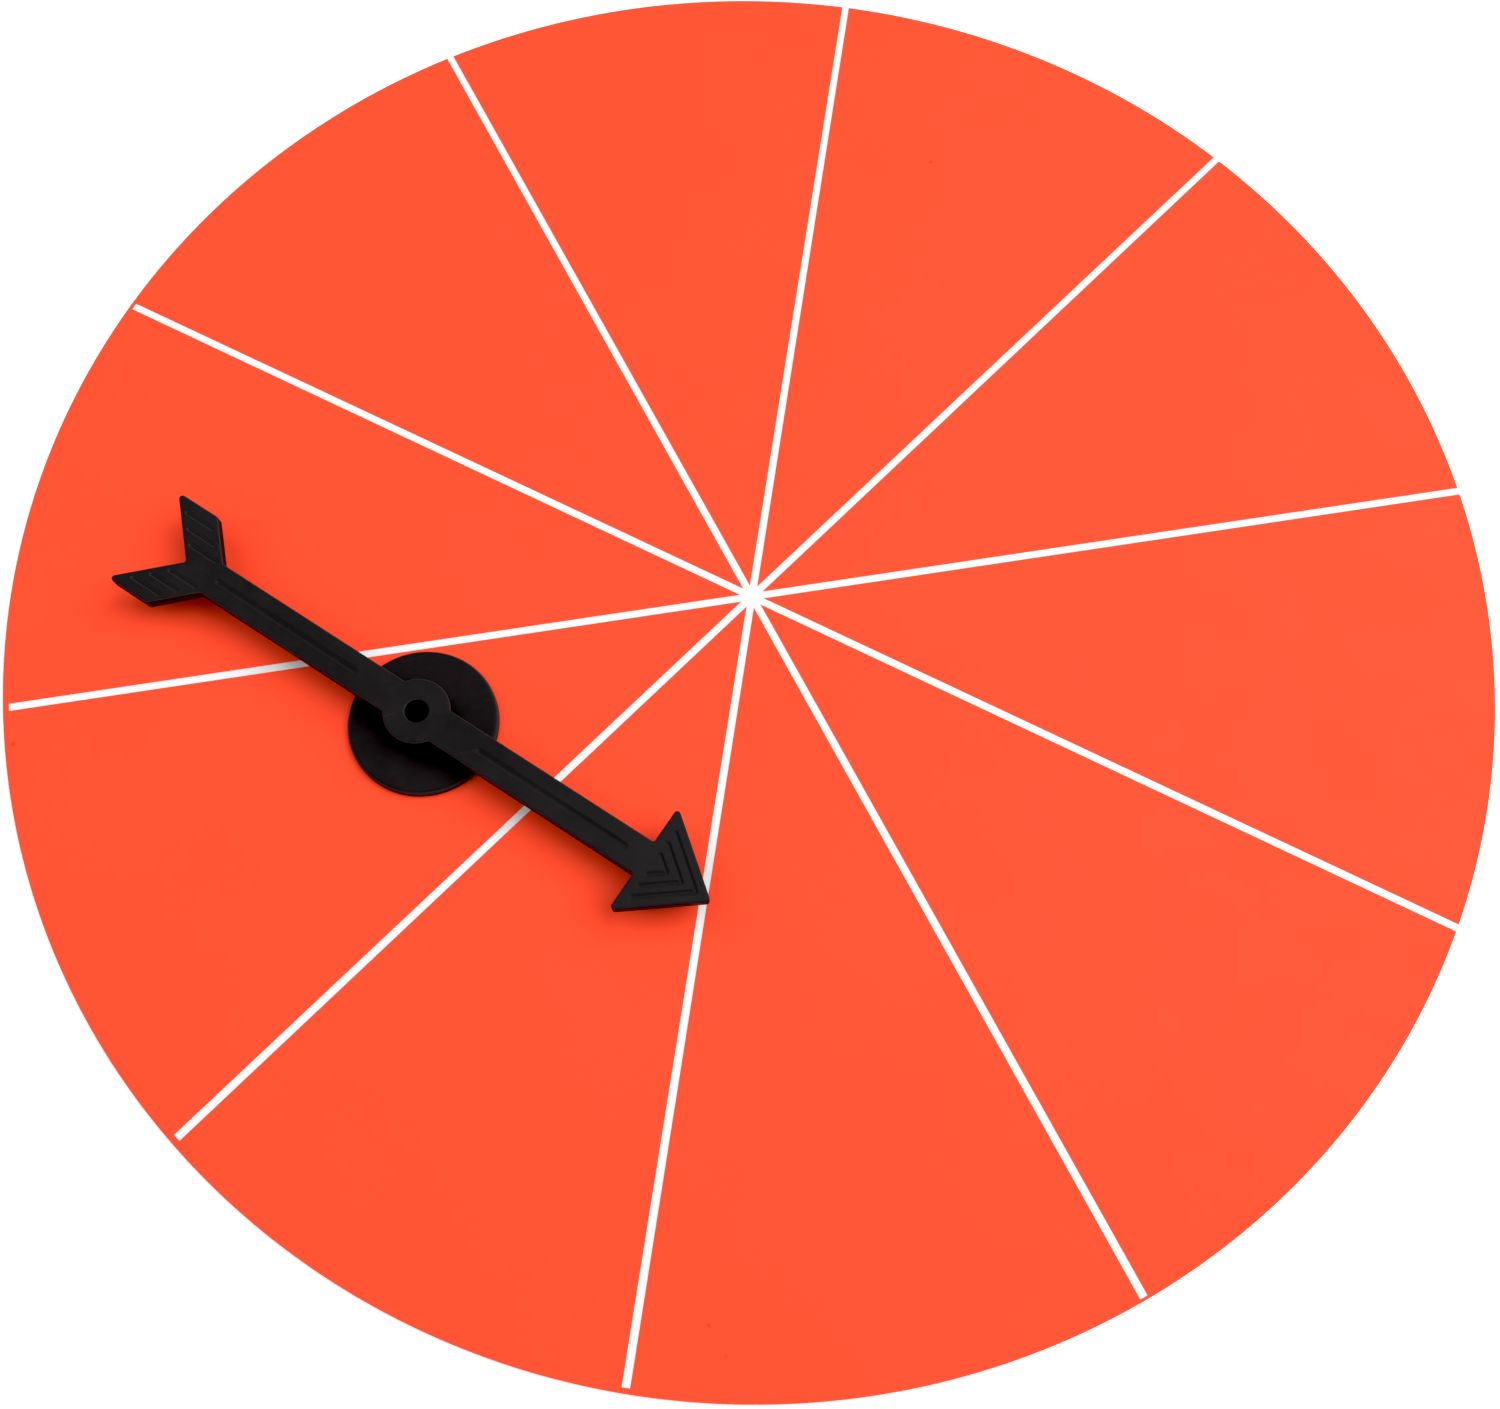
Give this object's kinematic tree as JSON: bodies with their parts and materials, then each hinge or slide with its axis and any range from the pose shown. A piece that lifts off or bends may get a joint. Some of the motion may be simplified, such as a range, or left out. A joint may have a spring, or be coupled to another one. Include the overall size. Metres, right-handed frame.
{
  "type": "game spinner",
  "caption": "Thin round magnetic wheel printed in equal sectors, with a plastic arrow that spins on a small magnetic base placed anywhere on it.",
  "frame": {"origin": "bottom centre of the wheel, on the surface that it lies on", "axes": "+Z is the wheel's normal, out of its printed face; +Y runs along one printed line; +X is to the right of it"},
  "size_m": [0.3, 0.3, 0.0096],
  "materials": {
    "magnet_rubber": "matt, dark brown ferrite-filled rubber",
    "glue": "clear to pale grey glue",
    "white_vinyl": "satin white vinyl",
    "red_ink": "satin orange-red print",
    "base_plastic": "fine matt black moulding",
    "base_ferrite": "matt dark grey magnet",
    "tape": "clear tape",
    "pin_plastic": "satin black moulding",
    "nylon": "natural nylon",
    "arrow_plastic": "satin black moulding"
  },
  "bodies": {
    "wheel": {"magnet_sheet": "magnet_rubber", "adhesive_film": "glue", "white_film": "white_vinyl", "red_print": "red_ink"},
    "spinner_base": {"base_housing": "base_plastic", "base_magnet": "base_ferrite", "magnet_tape": "tape", "pivot_pin": "pin_plastic", "thrust_washer": "nylon"},
    "arrow": {"arrow": "arrow_plastic"}
  },
  "joints": [
    {"name": "base_lift", "type": "slide", "parent": "wheel", "child": "spinner_base", "axis": [0, 0, 1], "range_m": [0, 0.03]},
    {"name": "arrow_spin", "type": "hinge", "parent": "spinner_base", "child": "arrow", "pos_m": [-0.0606, -0.0364, 0.00755], "axis": [0, 0, 1], "continuous": true}
  ]
}
